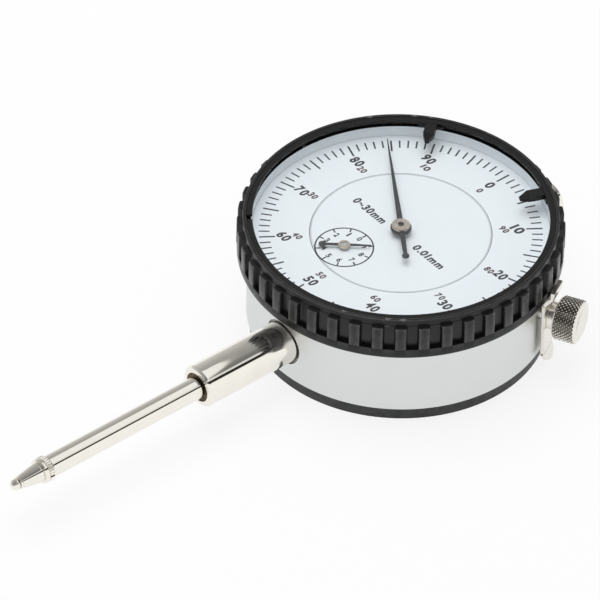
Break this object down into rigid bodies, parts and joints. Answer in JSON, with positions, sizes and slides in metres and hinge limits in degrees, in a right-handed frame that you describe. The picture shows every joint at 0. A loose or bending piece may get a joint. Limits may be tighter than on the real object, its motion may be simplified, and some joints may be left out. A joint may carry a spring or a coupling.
{
  "type": "dial indicator",
  "caption": "Long stem dial indicator: plunger and rack drive a geared pointer under a turning bezel with tolerance markers and a knurled bezel clamp.",
  "frame": {"origin": "on the dial's axis, at the outer face of the back cover", "axes": "+Z is the normal of the dial, -Y points along the spindle to the contact point, +Y is twelve o'clock, +X is three o'clock"},
  "size_m": [0.0623, 0.1259, 0.0245],
  "materials": {
    "satin_aluminium": "satin turned aluminium",
    "black_plastic": "moulded black plastic",
    "black_cover": "black painted steel",
    "gasket_rubber": "black rubber",
    "polished_steel": "polished steel with a warm tint",
    "nickel_steel": "nickel-plated steel",
    "screw_steel": "zinc-plated steel",
    "movement_brass": "brass",
    "bush_bronze": "bronze",
    "spring_steel": "blued spring steel",
    "dial_white": "white dial lacquer",
    "pointer_black": "dark blued pointer",
    "clear_crystal": "clear acrylic"
  },
  "bodies": {
    "case": {"case_body": "satin_aluminium", "back_cover": "black_cover", "cover_gasket": "gasket_rubber", "cover_screws": "screw_steel", "stem": "polished_steel", "stem_bush": "bush_bronze", "upper_bush": "polished_steel", "front_plate": "movement_brass", "plate_screws": "screw_steel", "middle_bridge": "movement_brass", "bridge_pillars": "movement_brass", "bridge_screws": "screw_steel", "lower_cock": "movement_brass", "cock_pillars": "movement_brass", "cock_screws": "screw_steel", "guide_rail": "screw_steel", "rail_screws": "screw_steel", "spring_post": "screw_steel", "return_spring": "spring_steel", "hairspring_stud": "movement_brass", "inner_dial": "dial_white", "bezel_wire": "spring_steel"},
    "plunger": {"spindle": "polished_steel", "contact_point": "polished_steel", "contact_ball": "polished_steel", "lifting_knob": "polished_steel", "guide_pin": "polished_steel"},
    "counter": {"counter_arbor": "polished_steel", "counter_gear": "movement_brass", "counter_pointer": "pointer_black"},
    "centre": {"centre_arbor": "polished_steel", "main_pointer": "pointer_black", "pointer_hub": "nickel_steel"},
    "takeup": {"takeup_arbor": "polished_steel", "takeup_gear": "movement_brass", "hairspring_collet": "movement_brass", "hairspring": "spring_steel"},
    "bezel_group": {"bezel": "black_plastic", "crystal": "clear_crystal", "retaining_ring": "black_plastic", "scale_ring": "dial_white"},
    "marker_a": {"tolerance_marker_a": "black_plastic"},
    "marker_b": {"tolerance_marker_b": "black_plastic"},
    "leaf": {"clamp_leaf": "nickel_steel", "clamp_washer": "nickel_steel"},
    "knurled_screw": {"clamp_screw": "nickel_steel"}
  },
  "joints": [
    {"name": "pointer_spin", "type": "hinge", "parent": "case", "child": "centre", "pos_m": [0, 0, 0.02], "axis": [0, 0, -1], "range_deg": [-3, 10803]},
    {"name": "plunger_slide", "type": "slide", "parent": "case", "child": "plunger", "axis": [0, 1, 0], "range_m": [0, 0.03], "stiffness_N_per_m": 20, "springref_m": -0.03, "deforming": ["return_spring"]},
    {"name": "counter_spin", "type": "hinge", "parent": "case", "child": "counter", "pos_m": [-0.00329, -0.0105, 0.015], "axis": [0, 0, 1], "range_deg": [-0.5, 1080.5]},
    {"name": "takeup_spin", "type": "hinge", "parent": "case", "child": "takeup", "pos_m": [0.00329, 0.0105, 0.015], "axis": [0, 0, 1], "range_deg": [-0.5, 1080.5], "deforming": ["hairspring"]},
    {"name": "bezel_turn", "type": "hinge", "parent": "case", "child": "bezel_group", "pos_m": [0, 0, 0.02], "axis": [0, 0, 1], "continuous": true},
    {"name": "marker_a_turn", "type": "hinge", "parent": "bezel_group", "child": "marker_a", "pos_m": [0, 0, 0.0235], "axis": [0, 0, 1], "range_deg": [-20, 120]},
    {"name": "marker_b_turn", "type": "hinge", "parent": "bezel_group", "child": "marker_b", "pos_m": [0, 0, 0.0235], "axis": [0, 0, 1], "range_deg": [-120, 20]},
    {"name": "clamp_screw_turn", "type": "hinge", "parent": "leaf", "child": "knurled_screw", "pos_m": [0.02649, 0.01408, 0.0112], "axis": [0.8829, 0.4695, 0], "range_deg": [-3, 543]},
    {"name": "leaf_release", "type": "slide", "parent": "case", "child": "leaf", "axis": [0.8829, 0.4695, 0], "range_m": [0, 0.00075]}
  ],
  "couplings": [
    {"joint": "pointer_spin", "follows": "plunger_slide", "rad_per_m": 6283.2},
    {"joint": "counter_spin", "follows": "plunger_slide", "rad_per_m": 628.32},
    {"joint": "takeup_spin", "follows": "plunger_slide", "rad_per_m": 628.32},
    {"joint": "clamp_screw_turn", "follows": "leaf_release", "rad_per_m": 12566}
  ]
}
